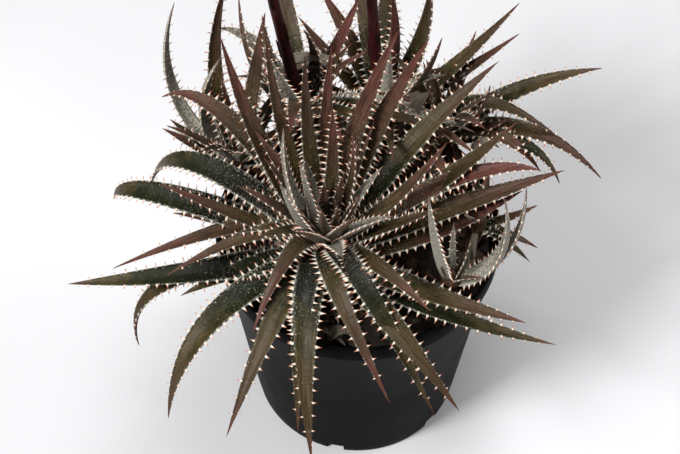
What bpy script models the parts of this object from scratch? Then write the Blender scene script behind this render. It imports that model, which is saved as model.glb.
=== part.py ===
"""A clump of dyckia rosettes with two flower stalks, in a black nursery pot.

Metres, +Z up. The origin is the middle of the pot's base, and the front is towards -Y.
"""

import math

import bmesh
import bpy
from mathutils import Matrix, Vector
from mathutils.bvhtree import BVHTree

MM = 0.001

# Pot: a trade one-gallon nursery pot, 165 mm across its rim.
POT_HEIGHT = 165 * MM
POT_RIM_RADIUS = 82.5 * MM
POT_BASE_RADIUS = 65 * MM
POT_WALL = 1.6 * MM
POT_FLOOR = 2.5 * MM
RIM_BAND = 13 * MM
RIM_STEP = 2.6 * MM
POT_SIDES = 36
DRAIN_COUNT = 6
DRAIN_WIDTH = 11 * MM
DRAIN_HEIGHT = 8 * MM
DRAIN_FIRST = math.radians(-102)

# Soil: a plug of potting mix, with a plain hole for each stem.
SOIL_TOP = 152 * MM
SOIL_EDGE_DROP = 3 * MM
STEM_DEPTH = 26 * MM
CLEARANCE = 0.35 * MM
STEM_SIDES = 8

# The photograph's viewpoint, which turns a leaf tip read in its pixels into a place.
PHOTO_SIZE = (680, 454)
FOCAL_PX = 1556
VIEW_PITCH = math.radians(56.5)
VIEW_TARGET = Vector((-10.5, 0, 163)) * MM
VIEW_DISTANCE = 900 * MM
CLUMP = ((345, 150), (150, 112))  # the middle and reach, in pixels, of the part with no gap between its leaves

# Leaf: a thick channelled blade with a keeled back and hooked teeth on both edges.
CHANNEL = 0.15
KEEL_THICKNESS = 0.22
TIP_THICKNESS = 1.1 * MM
TOOTH_LENGTH = 3.4 * MM
TOOTH_SPACING = 26 * MM
TOOTH_BASE = 4.5 * MM
TOOTH_HOOK = 0.1
BASE_REACH = 0.5
ROOT_SPREAD = 2.9
TAPER = 2.3
WAIST = 0.4
WAIST_SHARE = 0.22
GOLDEN_ANGLE = math.radians(137.508)

# Leaves seen in the photograph. Each row holds the tip's pixel, then the tip's height above the
# base in mm, the rise at the root in degrees, the width in mm and the root's turn in degrees. A
# leaf that arches more than most has a longer reach before its bend as a seventh number.
FRONT_LEAVES = [
    (67, 284, 178, 13, 16.0, 10),
    (111, 269, 184, 57, 13.0, -27, 0.3),
    (165, 276, 190, 53, 11.0, -19, 0.4),
    (139, 346, 129, 8, 11.0, -10, 1.03),
    (180, 296, 170, 18, 13.0, 0),
    (168, 419, 129, 16, 15.5, -10, 0.76),
    (252, 334, 172, 58, 10.5, -22),
    (226, 438, 137, 36, 15.0, -4, 0.36),
    (312, 464, 130, 32, 15.5, -14),
    (298, 434, 122, 42, 13.0, -12),
    (391, 406, 156, 48, 11.0, -26),
    (460, 412, 140, 30, 15.5, -14),
    (436, 418, 128, 50, 12.0, -14),
    (431, 312, 196, 42, 11.0, 2),
    (527, 323, 186, 8, 14.0, -4),
    (557, 345, 167, 8, 13.0, -17, 0.47),
    (565, 170, 220, 19, 14.5, 2, 0.55),
    (542, 171, 234, 35, 12.0, 12, 0.78),
    (523, 190, 206, 6, 14.0, -6),
    (440, 208, 240, 40, 9.0, 8),
    (447, 142, 260, 44, 11.0, -4),
    (518, 121, 256, 28, 14.5, 0),
    (499, 61, 264, 38, 14.5, 10),
    (430, 38, 286, 48, 12.5, 14),
    (400, 28, 298, 54, 11.5, 18),
    (332, 43, 302, 62, 9.0, 8),
    (305, 54, 300, 66, 9.5, 8),
    (265, 32, 294, 58, 10.0, 14),
    (220, 35, 282, 48, 13.0, 14),
    (161, 97, 237, 46, 12.0, -12, 0.96),
    (284, 128, 274, 66, 9.5, 12),
    (280, 182, 264, 66, 8.5, 0),
    (159, 183, 238, 34, 10.0, 0),
    (114, 198, 181, 28, 16.0, 7, 1.08),
    (151, 186, 171, 44, 15.0, 6, 1.15),
    (332, 106, 286, 74, 8.0, 0),
    (352, 132, 272, 70, 7.0, 0),
    (300, 160, 272, 80, 7.0, 0),
    (172, 213, 190, 30, 12.0, 4),
]
BACK_LEFT_LEAVES = [
    (218, 28, 252, 70, 10.0, -16, 0.8),
    (239, -4, 290, 58, 9.0, 16),
    (262, 14, 290, 62, 11.0, 20),
    (303, 30, 256, 66, 9.0, 0),
    (269, 56, 266, 62, 11.0, 16),
    (362, -8, 262, 60, 10.0, 0),
]
BACK_RIGHT_LEAVES = [
    (318, -14, 244, 50, 11.0, -10),
    (298, 16, 226, 36, 9.0, 0),
    (391, -12, 272, 66, 8.0, -16),
    (388, 38, 258, 80, 7.0, 0),
    (430, -20, 280, 54, 13.0, 0),
    (442, 37, 276, 60, 9.0, 0),
    (520, 2, 259, 29, 13.0, -2, 0.3),
    (520, 33, 245, 23, 11.0, 7, 0.31),
]
RIGHT_LEAVES = [
    (603, 68, 224, 41, 12.0, 6, 0.55),
    (602, 179, 169, 31, 12.0, 10, 0.63),
    (561, 139, 187, 70, 11.0, 16, 0.66),
    (560, 184, 175, 27, 9.0, 10, 0.83),
    (490, 85, 236, 50, 8.0, 0),
    (508, 119, 208, 30, 9.0, 0),
    (495, 136, 198, 26, 9.0, 0),
    (541, 172, 180, 40, 11.0, 8, 0.7),
]
LEFT_LEAVES = [
    (175, 2, 280, 29, 9.0, 23, 0.58),
    (221, 58, 268, 39, 12.0, 24, 0.44),
    (228, -24, 286, 51, 10.0, 31),
    (162, 128, 200, 26, 8.0, 0),
    (170, 119, 212, 34, 8.0, 0),
    (265, 12, 288, 70, 10.0, 8, 0.54),
]
NEAR_PUP_LEAVES = [
    (429, 196, 262, 76, 9.0, 0),
    (504, 198, 236, 34, 11.0, -24),
    (526, 187, 238, 30, 8.0, -20),
    (471, 239, 212, 76, 6.0, 0),
]
FAR_PUP_LEAVES = [
    (537, 205, 200, 34, 6.0, 0),
    (538, 248, 180, 30, 6.0, 0),
    (530, 262, 176, 30, 6.0, 0),
]


class Rosette:
    """Where one head of leaves stands, what is seen of it and how the rest of it is filled in."""

    def __init__(self, name, foot, head, collar, stem_radius, seen, fill, length, width, turn):
        self.name = name
        self.foot = Vector((*foot, 0)) * MM
        self.centre = Vector((*head, 0)) * MM
        self.collar = collar * MM
        self.stem_radius = stem_radius * MM
        self.seen = seen
        self.fill = fill
        self.length = length * MM
        self.width = width * MM
        self.turn = math.radians(turn)
        self.heart = 0.0


ROSETTES = [
    Rosette("rosette_front", (-18, -20), (-18, -20), 177, 9.5, FRONT_LEAVES, 2, 118, 13, 86),
    Rosette("rosette_back_left", (-30, 56), (-33, 67), 185, 8.5, BACK_LEFT_LEAVES, 17, 112, 12, 20.5),
    Rosette("rosette_back_right", (12, 58), (13, 69), 183, 8.5, BACK_RIGHT_LEAVES, 20, 116, 12.5, 50.4),
    Rosette("rosette_right", (47, 44), (49, 56), 181, 7, RIGHT_LEAVES, 12, 90, 11, 10.6),
    Rosette("rosette_left", (-60, 24), (-69, 32), 182, 6.5, LEFT_LEAVES, 10, 84, 10, 133),
    Rosette("pup_near", (52, -38), (52, -38), 166, 4.5, NEAR_PUP_LEAVES, 4, 46, 7, 262),
    Rosette("pup_far", (66, -4), (68, -4), 173, 4.5, FAR_PUP_LEAVES, 4, 34, 6.5, 40),
]


def photo_point(pixel, height):
    """The point at this height that the photograph shows at this pixel."""
    forward = Vector((0, math.cos(VIEW_PITCH), -math.sin(VIEW_PITCH)))
    upward = Vector((0, math.sin(VIEW_PITCH), math.cos(VIEW_PITCH)))
    eye = VIEW_TARGET - forward * VIEW_DISTANCE
    across = (pixel[0] - PHOTO_SIZE[0] / 2) / FOCAL_PX
    above = (PHOTO_SIZE[1] / 2 - pixel[1]) / FOCAL_PX
    ray = forward + Vector((1, 0, 0)) * across + upward * above
    return eye + ray * ((height - eye.z) / ray.z)


def radial(azimuth):
    return Vector((math.cos(azimuth), math.sin(azimuth), 0))


class Leaf:
    """One blade: a curve from its root on the stem to its tip, and a width."""

    def __init__(self, rosette, tip, rise, width, root_turn=0.0, reach=BASE_REACH):
        out = tip - rosette.centre
        azimuth = math.atan2(out.y, out.x) + root_turn
        steep = rise / (math.pi / 2)
        root_radius = max(rosette.stem_radius * (1.05 - 0.7 * steep), rosette.heart)
        root_height = rosette.collar + rosette.stem_radius * (ROOT_SPREAD * steep - 1)
        self.side = Vector((-math.sin(azimuth), math.cos(azimuth), 0))
        self.root = rosette.centre + radial(azimuth) * root_radius
        self.root.z = root_height
        start = radial(azimuth) * math.cos(rise) + Vector((0, 0, math.sin(rise)))
        self.knee = self.root + start * (tip - self.root).length * reach
        self.tip = tip
        self.width = width
        self.length = self.measured_length()

    def point(self, share):
        rest = 1 - share
        return self.root * rest**2 + self.knee * (2 * rest * share) + self.tip * share**2

    def frame(self, share):
        """Unit vectors along the blade, across it and out of its upper face."""
        rest = 1 - share
        along = (self.knee - self.root) * rest + (self.tip - self.knee) * share
        along.normalize()
        across = (self.side - along * self.side.dot(along)).normalized()
        return along, across, along.cross(across)

    def measured_length(self):
        points = [self.point(step / 16) for step in range(17)]
        return sum((b - a).length for a, b in zip(points, points[1:]))

    def half_width(self, share):
        waist = max(0.0, 1 - share / WAIST_SHARE) ** 2
        return 0.5 * self.width * (1 - share**TAPER) * (1 - WAIST * waist)


def leaf_mesh(leaf, margin=0.0):
    """The blade as a closed mesh, with a tooth on each edge between one station and the next."""
    mesh = bmesh.new()
    stations = max(3, round(leaf.length / TOOTH_SPACING))
    rows = []
    for step in range(stations + 1):
        share = step / (stations + 1)
        along, across, above = leaf.frame(share)
        middle = leaf.point(share)
        half = leaf.half_width(share) + margin
        keel = TIP_THICKNESS + 2 * half * KEEL_THICKNESS + 2 * margin
        trough = middle - above * (2 * half * CHANNEL - margin)
        corners = [trough, middle + across * half, trough - above * keel, middle - across * half]
        rows.append([mesh.verts.new(corner) for corner in corners])
    apex = mesh.verts.new(leaf.tip)
    for step, (here, there) in enumerate(zip(rows, rows[1:])):
        end = (step + 1) / (stations + 1)
        along, across, above = leaf.frame(end)
        size = TOOTH_LENGTH * (0.5 + leaf.half_width(end) / leaf.width)
        start = end - min(TOOTH_BASE / leaf.length, 0.5 / (stations + 1))
        for edge, sign in ((1, 1), (3, -1)):
            out = across * sign
            foot = mesh.verts.new(leaf.point(start) + out * (leaf.half_width(start) + margin))
            hook = out * (size + margin) + along * size * TOOTH_HOOK
            point = mesh.verts.new(leaf.point(end) + out * leaf.half_width(end) + hook)
            for face in (0, 2):
                mesh.faces.new((here[face], here[edge], foot))
                mesh.faces.new((here[face], foot, there[face]))
                mesh.faces.new((there[face], foot, point))
                mesh.faces.new((there[face], point, there[edge]))
    last, first = rows[-1], rows[0]
    for a, b in zip(last, last[1:] + last[:1]):
        mesh.faces.new((a, b, apex))
    mesh.faces.new(first[::-1])
    bmesh.ops.recalc_face_normals(mesh, faces=mesh.faces)
    if mesh.calc_volume(signed=True) < 0:
        bmesh.ops.reverse_faces(mesh, faces=mesh.faces)
    return mesh


def fill_leaf(rosette, index, count, shift, lift):
    """A leaf on the golden spiral: the first ones are low and long, the last ones steep and short."""
    rank = (index + 0.5) / count
    azimuth = rosette.turn + index * GOLDEN_ANGLE + shift
    rise = min(math.radians(18 + 58 * rank) + lift, math.radians(82))
    length = rosette.length * (1 - 0.45 * rank)
    lean = rise - math.radians(34 - 22 * rank)
    tip = rosette.centre + radial(azimuth) * length * math.cos(lean)
    tip.z = rosette.collar + length * math.sin(lean)
    return Leaf(rosette, tip, rise, rosette.width * (1 - 0.35 * rank))


def trials():
    """Small turns and lifts of a leaf, tried in order until it lies clear of its neighbours."""
    yield 0.0, 0.0
    for size in range(1, 9):
        for shift, lift in ((1, 0), (-1, 0), (0, 1), (1, 1), (-1, 1), (0, -0.5)):
            yield shift * math.radians(7) * size, lift * math.radians(5) * size


def leaf_tree(leaf):
    mesh = leaf_mesh(leaf, CLEARANCE)
    tree = BVHTree.FromBMesh(mesh)
    mesh.free()
    return tree


def tube_tree(bottom, top, radius):
    mesh = bmesh.new()
    add_tube(mesh, bottom, top, radius, radius, 8)
    tree = BVHTree.FromBMesh(mesh)
    mesh.free()
    return tree


def photo_pixel(point):
    """Where the photograph shows this point: the other way round from photo_point."""
    forward = Vector((0, math.cos(VIEW_PITCH), -math.sin(VIEW_PITCH)))
    upward = Vector((0, math.sin(VIEW_PITCH), math.cos(VIEW_PITCH)))
    ray = point - VIEW_TARGET + forward * VIEW_DISTANCE
    scale = FOCAL_PX / ray.dot(forward)
    return PHOTO_SIZE[0] / 2 + scale * ray.x, PHOTO_SIZE[1] / 2 - scale * ray.dot(upward)


def unseen(leaf):
    """True where the photograph can't speak against a leaf: past its top edge or in the thick of the clump."""
    for share in (0.6, 0.8, 1.0):
        u, v = photo_pixel(leaf.point(share))
        middle, reach = CLUMP
        if v > 0 and math.hypot((u - middle[0]) / reach[0], (v - middle[1]) / reach[1]) > 1:
            return False
    return True


def crosses(tree, others):
    return any(tree.overlap(other) for other in others)


def grow_leaves():
    """Every rosette's leaves. Those seen in the photograph stand first, and the rest fit round them."""
    grown = {rosette.name: [] for rosette in ROSETTES}
    trees = {rosette.name: [] for rosette in ROSETTES}
    for rosette in ROSETTES:
        for u, v, height, rise, width, turn, *reach in rosette.seen:
            tip = photo_point((u, v), height * MM)
            bend = (math.radians(rise), width * MM, math.radians(turn), *reach)
            leaf = Leaf(rosette, tip, *bend)
            grown[rosette.name].append(leaf)
            trees[rosette.name].append(leaf_tree(leaf))
    for rosette in ROSETTES:
        stem = stem_mesh(rosette, CLEARANCE)
        trees[rosette.name].append(BVHTree.FromBMesh(stem))
        stem.free()
    trees["stalks"] = [tube_tree(stalk.foot, stalk.top, STALK_RADIUS * 1.5) for stalk in STALKS]
    pot = turned(pot_profile(), POT_SIDES)
    trees["pot"] = [BVHTree.FromBMesh(pot)]
    pot.free()
    for rosette in ROSETTES:
        others = [t for name, ts in trees.items() if name != rosette.name for t in ts]
        for index in range(rosette.fill):
            for shift, lift in trials():
                leaf = fill_leaf(rosette, index, rosette.fill, shift, lift)
                tree = leaf_tree(leaf)
                if unseen(leaf) and not crosses(tree, others):
                    grown[rosette.name].append(leaf)
                    trees[rosette.name].append(tree)
                    break
    return grown


# Flower stalks: young spikes that rise from the two back rosettes.
STALK_RADIUS = 4.0 * MM
STALK_TIP_RADIUS = 2.2 * MM
STALK_SIDES = 7
SPIKE_SHARE = 0.36
BUD_COUNT = 8
BUD_LENGTH = 12 * MM
BUD_RADIUS = 2.6 * MM


class Stalk:
    def __init__(self, name, rosette, foot, top):
        self.name = name
        self.rosette = rosette
        self.foot = Vector(foot) * MM
        self.top = Vector(top) * MM
        next(r for r in ROSETTES if r.name == rosette).heart = STALK_RADIUS * 1.45


STALKS = [
    Stalk("stalk_left", "rosette_back_left", (-33, 67, 184), (-60, 62, 392)),
    Stalk("stalk_right", "rosette_back_right", (13, 69, 182), (0, 70, 384)),
]


def add_tube(mesh, bottom, top, bottom_radius, top_radius, sides):
    """A closed tapered tube between two points."""
    axis = top - bottom
    matrix = axis.to_track_quat("Z", "Y").to_matrix().to_4x4()
    matrix.translation = (bottom + top) / 2
    bmesh.ops.create_cone(
        mesh,
        cap_ends=True,
        segments=sides,
        radius1=bottom_radius,
        radius2=top_radius,
        depth=axis.length,
        matrix=matrix,
    )


def make_material(name, colour, roughness):
    material = bpy.data.materials.new(name)
    material.use_nodes = True
    shader = material.node_tree.nodes["Principled BSDF"]
    shader.inputs["Base Color"].default_value = (*colour, 1)
    shader.inputs["Roughness"].default_value = roughness
    shader.inputs["Metallic"].default_value = 0.0
    return material


def add_object(name, mesh, material):
    data = bpy.data.meshes.new(name)
    mesh.to_mesh(data)
    mesh.free()
    data.materials.append(material)
    obj = bpy.data.objects.new(name, data)
    bpy.context.scene.collection.objects.link(obj)
    return obj


def keep_outer_shell(mesh):
    """Drops the sealed pockets that crossing leaves close off, and keeps the outer surface."""
    left = set(mesh.faces)
    shells = []
    while left:
        shell, edge_of = [], [left.pop()]
        while edge_of:
            face = edge_of.pop()
            shell.append(face)
            for edge in face.edges:
                for other in edge.link_faces if len(edge.link_faces) == 2 else ():
                    if other in left:
                        left.remove(other)
                        edge_of.append(other)
        shells.append(shell)
    shells.sort(key=len)
    for shell in shells[:-1]:
        bmesh.ops.delete(mesh, geom=shell, context="FACES")


def tidy_shell(obj):
    mesh = bmesh.new()
    mesh.from_mesh(obj.data)
    keep_outer_shell(mesh)
    mesh.to_mesh(obj.data)
    mesh.free()


def apply_modifiers(obj):
    bpy.context.view_layer.update()
    graph = bpy.context.evaluated_depsgraph_get()
    made = bpy.data.meshes.new_from_object(obj.evaluated_get(graph))
    obj.modifiers.clear()
    obj.data = made


def fuse(obj, meshes):
    """Joins closed meshes to an object as one body, with one union on their collection."""
    collection = bpy.data.collections.new(obj.name + "_pieces")
    bpy.context.scene.collection.children.link(collection)
    for index, mesh in enumerate(meshes):
        data = bpy.data.meshes.new(f"{obj.name}_piece_{index}")
        mesh.to_mesh(data)
        mesh.free()
        collection.objects.link(bpy.data.objects.new(data.name, data))
    union = obj.modifiers.new("Fuse", "BOOLEAN")
    union.operation = "UNION"
    union.solver = "MANIFOLD"
    union.operand_type = "COLLECTION"
    union.collection = collection
    apply_modifiers(obj)
    for piece in list(collection.objects):
        bpy.data.objects.remove(piece)
    bpy.data.collections.remove(collection)
    tidy_shell(obj)


def cut(obj, meshes):
    """Takes closed meshes out of an object."""
    for index, mesh in enumerate(meshes):
        data = bpy.data.meshes.new(f"{obj.name}_cutter_{index}")
        mesh.to_mesh(data)
        mesh.free()
        cutter = bpy.data.objects.new(data.name, data)
        bpy.context.scene.collection.objects.link(cutter)
        cutter.hide_render = True
        cutter.display_type = "WIRE"
        hole = obj.modifiers.new(f"Cut {index}", "BOOLEAN")
        hole.operation = "DIFFERENCE"
        hole.solver = "EXACT"
        hole.object = cutter
    apply_modifiers(obj)
    for cutter in [o for o in bpy.data.objects if o.name.startswith(f"{obj.name}_cutter_")]:
        bpy.data.objects.remove(cutter)


def turned(profile, sides):
    """A closed body of revolution, from a profile of (radius, height) points that starts and ends on the axis."""
    mesh = bmesh.new()
    points = [mesh.verts.new((radius, 0, height)) for radius, height in profile]
    edges = [mesh.edges.new(pair) for pair in zip(points, points[1:])]
    bmesh.ops.spin(
        mesh,
        geom=points + edges,
        cent=(0, 0, 0),
        axis=(0, 0, 1),
        angle=math.tau,
        steps=sides,
        use_merge=True,
    )
    bmesh.ops.remove_doubles(mesh, verts=mesh.verts, dist=1e-6)
    bmesh.ops.recalc_face_normals(mesh, faces=mesh.faces)
    return mesh


def wall_radius(height):
    """The pot wall's outer radius below the rim band."""
    top = POT_RIM_RADIUS - RIM_STEP
    return POT_BASE_RADIUS + (top - POT_BASE_RADIUS) * height / (POT_HEIGHT - RIM_BAND)


def pot_profile():
    band = POT_HEIGHT - RIM_BAND
    bevel = 1.2 * MM
    return [
        (0, 0),
        (POT_BASE_RADIUS - bevel, 0),
        (POT_BASE_RADIUS, bevel),
        (wall_radius(band), band),
        (POT_RIM_RADIUS, band + bevel),
        (POT_RIM_RADIUS, POT_HEIGHT - bevel),
        (POT_RIM_RADIUS - bevel, POT_HEIGHT),
        (POT_RIM_RADIUS - 2 * bevel, POT_HEIGHT - bevel),
        (wall_radius(band) - POT_WALL, band - bevel),
        (wall_radius(POT_FLOOR) - POT_WALL, POT_FLOOR),
        (0, POT_FLOOR),
    ]


def build_pot(material):
    pot = add_object("pot", turned(pot_profile(), POT_SIDES), material)
    slots = []
    for index in range(DRAIN_COUNT):
        azimuth = DRAIN_FIRST + index * math.tau / DRAIN_COUNT
        slot = bmesh.new()
        bmesh.ops.create_cube(slot, size=1)
        bmesh.ops.scale(slot, vec=(12 * MM, DRAIN_WIDTH, 2 * DRAIN_HEIGHT), verts=slot.verts)
        bmesh.ops.translate(slot, vec=(POT_BASE_RADIUS - 2 * MM, 0, 0), verts=slot.verts)
        turn = radial(azimuth).to_track_quat("X", "Z").to_matrix()
        bmesh.ops.rotate(slot, cent=(0, 0, 0), matrix=turn, verts=slot.verts)
        slots.append(slot)
    cut(pot, slots)
    return pot


def build_soil(material):
    gap = POT_WALL + CLEARANCE
    bottom = POT_FLOOR + CLEARANCE
    edge = SOIL_TOP - SOIL_EDGE_DROP
    profile = [
        (0, bottom),
        (wall_radius(bottom) - gap - 0.2 * MM, bottom),
        (wall_radius(edge) - gap - 0.2 * MM, edge),
        (wall_radius(edge) * 0.8, SOIL_TOP),
        (0, SOIL_TOP),
    ]
    soil = add_object("soil", turned(profile, POT_SIDES), material)
    holes = []
    for rosette in ROSETTES:
        hole = bmesh.new()
        bottom = rosette.foot + Vector((0, 0, SOIL_TOP - STEM_DEPTH - CLEARANCE))
        top = rosette.foot + Vector((0, 0, SOIL_TOP + 10 * MM))
        radius = rosette.stem_radius + CLEARANCE
        add_tube(hole, bottom, top, radius, radius, STEM_SIDES)
        holes.append(hole)
    cut(soil, holes)
    return soil


def stem_mesh(rosette, margin=0.0):
    """The stem: straight up inside its hole, then leaning out to the head it carries."""
    mesh = bmesh.new()
    radius = rosette.stem_radius + margin
    rings = [
        (rosette.foot, SOIL_TOP - STEM_DEPTH, radius),
        (rosette.foot, SOIL_TOP + 1 * MM, radius),
        (rosette.centre, rosette.collar - 1.3 * radius, radius),
        (rosette.centre, rosette.collar - 0.3 * radius, radius * 1.35),
        (rosette.centre, rosette.collar + 0.5 * radius, radius * 1.3),
        (rosette.centre, rosette.collar + 1.9 * radius, max(radius * 0.5, rosette.heart * 1.3)),
    ]
    for place, height, size in rings:
        matrix = Matrix.Translation(place + Vector((0, 0, height)))
        bmesh.ops.create_circle(mesh, segments=STEM_SIDES, radius=size, matrix=matrix)
    mesh.verts.ensure_lookup_table()
    loops = [mesh.verts[i * STEM_SIDES : (i + 1) * STEM_SIDES] for i in range(len(rings))]
    for low, high in zip(loops, loops[1:]):
        for i in range(STEM_SIDES):
            j = (i + 1) % STEM_SIDES
            mesh.faces.new((low[i], low[j], high[j], high[i]))
    mesh.faces.new(loops[0][::-1])
    mesh.faces.new(loops[-1])
    return mesh


def socket_mesh(stalk):
    """The room a stalk needs in its rosette: its own tube, wider all round by the clearance."""
    mesh = bmesh.new()
    along = (stalk.top - stalk.foot).normalized()
    radius = STALK_RADIUS + CLEARANCE
    add_tube(mesh, stalk.foot - along * CLEARANCE, stalk.top, radius, radius, STALK_SIDES)
    return mesh


def build_rosette(rosette, leaves, material):
    obj = add_object(rosette.name, stem_mesh(rosette), material)
    fuse(obj, [leaf_mesh(leaf) for leaf in leaves])
    sockets = [socket_mesh(stalk) for stalk in STALKS if stalk.rosette == rosette.name]
    if sockets:
        cut(obj, sockets)
        tidy_shell(obj)
    return obj


def build_stalk(stalk, material):
    """A bare stalk that ends in a young spike of closed buds."""
    along = stalk.top - stalk.foot
    neck = stalk.foot + along * (1 - SPIKE_SHARE)
    body = bmesh.new()
    add_tube(body, stalk.foot, stalk.top, STALK_RADIUS, STALK_TIP_RADIUS, STALK_SIDES)
    obj = add_object(stalk.name, body, material)
    upright = along.to_track_quat("Z", "Y")
    buds = []
    for index in range(BUD_COUNT):
        rank = (index + 0.5) / BUD_COUNT
        turn = index * GOLDEN_ANGLE
        lean = Vector((math.cos(turn), math.sin(turn), 1.5 + 2.5 * rank)).normalized()
        place = neck + (stalk.top - neck) * rank
        bud = bmesh.new()
        size = BUD_LENGTH * (1 - 0.35 * rank)
        add_tube(bud, place, place + upright @ lean * size, BUD_RADIUS, 0.8 * MM, 5)
        buds.append(bud)
    fuse(obj, buds)
    return obj


def clear_scene():
    for obj in list(bpy.data.objects):
        bpy.data.objects.remove(obj)


def main():
    clear_scene()
    leaf_green = make_material("leaf", (0.075, 0.065, 0.045), 0.55)
    stalk_red = make_material("stalk", (0.1, 0.02, 0.02), 0.5)
    black_plastic = make_material("pot_plastic", (0.02, 0.02, 0.022), 0.5)
    potting_mix = make_material("potting_mix", (0.05, 0.035, 0.025), 0.95)
    grown = grow_leaves()
    build_pot(black_plastic)
    build_soil(potting_mix)
    for rosette in ROSETTES:
        build_rosette(rosette, grown[rosette.name], leaf_green)
    for stalk in STALKS:
        build_stalk(stalk, stalk_red)


main()
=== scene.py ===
# %% [markdown]
# # A potted clump of dyckia
# This lesson dresses a plain CAD model of a spiny rosette plant: seven heads of stiff leaves, two
# young flower stalks and a black nursery pot. The CAD model comes in as a frame that never moves.
# Every finer piece is grown on the same curves as the CAD leaves, so it lands in the same place.

# %% Load the frame
import math
import random

import bmesh
import bpy
from mathutils import Matrix, Vector, noise
from mathutils.kdtree import KDTree


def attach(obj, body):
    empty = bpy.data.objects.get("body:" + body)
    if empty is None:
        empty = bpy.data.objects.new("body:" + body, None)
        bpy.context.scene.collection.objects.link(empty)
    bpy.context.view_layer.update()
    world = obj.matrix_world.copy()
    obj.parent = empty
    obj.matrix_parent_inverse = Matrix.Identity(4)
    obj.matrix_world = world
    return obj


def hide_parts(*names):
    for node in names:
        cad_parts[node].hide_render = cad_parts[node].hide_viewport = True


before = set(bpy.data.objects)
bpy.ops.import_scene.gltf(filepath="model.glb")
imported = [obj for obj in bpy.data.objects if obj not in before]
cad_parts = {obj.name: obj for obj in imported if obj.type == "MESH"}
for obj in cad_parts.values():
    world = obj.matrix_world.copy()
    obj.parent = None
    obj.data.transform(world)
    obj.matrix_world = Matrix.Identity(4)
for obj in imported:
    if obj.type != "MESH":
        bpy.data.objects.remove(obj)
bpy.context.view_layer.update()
MM = 0.001
SEED = 7
random.seed(SEED)
noise.seed_set(SEED)  # Blender's noise starts from the clock otherwise, and each run would differ

# %% [markdown]
# ## Helpers for meshes
# Every piece is shaped as a bmesh, Blender's mesh for editing, and then becomes the data of an
# object. Four small helpers do the steps that come back: data from a bmesh, an object from data,
# data joined to a larger bmesh, and a ring of edges drawn on by one extrusion.


# %% Mesh helpers
def mesh_data(name, mesh):
    """Turns a bmesh into mesh data."""
    data = bpy.data.meshes.new(name)
    mesh.to_mesh(data)
    mesh.free()
    return data


def new_object(name, data):
    """An object at the origin that holds this data."""
    made = bpy.data.objects.new(name, data)
    bpy.context.scene.collection.objects.link(made)
    return made


def join_data(mesh, data):
    """Adds mesh data to a bmesh, and removes the data."""
    mesh.from_mesh(data)
    bpy.data.meshes.remove(data)


def draw_on(mesh, edges):
    """Extrudes a ring of edges once, and returns the corners and the edges of the new ring."""
    made = bmesh.ops.extrude_edge_only(mesh, edges=edges)["geom"]
    corners = [item for item in made if isinstance(item, bmesh.types.BMVert)]
    return corners, [item for item in made if isinstance(item, bmesh.types.BMEdge)]


# %% [markdown]
# ## The camera
# The plant was photographed from high in front. A camera is a place, a direction and a lens. The
# place and the tilt were fitted to the pot's outline, where a tilt makes the round rim an ellipse.
# The lens is worked out from the focal length in pixels, and the sensor is left at 36 mm.

# %% Camera
PHOTO_SIZE = (680, 454)
FOCAL_PX = 1556
SENSOR_WIDTH = 36
VIEW_PITCH = math.radians(56.5)
VIEW_TARGET = Vector((-10.5, 0, 163)) * MM
VIEW_DISTANCE = 900 * MM
VIEW_FORWARD = Vector((0, math.cos(VIEW_PITCH), -math.sin(VIEW_PITCH)))
VIEW_UPWARD = Vector((0, math.sin(VIEW_PITCH), math.cos(VIEW_PITCH)))
EYE = VIEW_TARGET - VIEW_FORWARD * VIEW_DISTANCE

lens = bpy.data.cameras.new("camera")
lens.sensor_width = SENSOR_WIDTH
lens.lens = SENSOR_WIDTH * FOCAL_PX / PHOTO_SIZE[0]
camera = new_object("camera", lens)
camera.location = EYE
camera.rotation_euler = VIEW_FORWARD.to_track_quat("-Z", "Y").to_euler()
bpy.context.scene.camera = camera
print("camera at", [round(x, 3) for x in EYE], "lens", round(lens.lens, 1), "mm")

# %% [markdown]
# ## Helpers for materials
# Colours are written as hex values, as a paint chart gives them. Blender's sockets want linear
# light, so one function turns the first into the second. Another adds a shader node with its
# settings and links in one line, which keeps each material short enough to read. Three more do
# what the materials share: a noise that is longer one way, a sum with weights, and the last links.


# %% Material helpers
def linear(hex_colour):
    """The linear RGBA of an sRGB hex colour."""
    parts = [int(hex_colour[i : i + 2], 16) / 255 for i in (1, 3, 5)]
    return [p / 12.92 if p <= 0.04045 else ((p + 0.055) / 1.055) ** 2.4 for p in parts] + [1]


def add_node(tree, kind, inputs=None, output=0, stops=None, **settings):
    """One output of a new node. An input is a value, or the socket that feeds it."""
    node = tree.nodes.new("ShaderNode" + kind)
    for name, value in settings.items():
        setattr(node, name, value)
    if stops:
        ramp = node.color_ramp.elements
        while len(ramp) < len(stops):
            ramp.new(0.5)
        for element, (place, colour) in zip(ramp, stops):
            element.position = place
            element.color = linear(colour)
    for name, value in (inputs or {}).items():
        if isinstance(value, bpy.types.NodeSocket):
            tree.links.new(value, node.inputs[name])
        else:
            node.inputs[name].default_value = value
    return node.outputs[output]


def stretched_noise(tree, place, stretch, detail=2.0, roughness=0.5):
    """A noise on these coordinates, each first multiplied by its own factor."""
    scaled = add_node(tree, "VectorMath", {0: place, 1: stretch}, operation="MULTIPLY")
    inputs = {"Vector": scaled, "Scale": 1.0, "Detail": detail, "Roughness": roughness}
    return add_node(tree, "TexNoise", inputs)


def weighted_sum(tree, terms, total=0.0):
    """A starting value plus each socket times its weight."""
    for socket, weight in terms:
        total = add_node(tree, "Math", {0: socket, 1: weight, 2: total}, operation="MULTIPLY_ADD")
    return total


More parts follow.
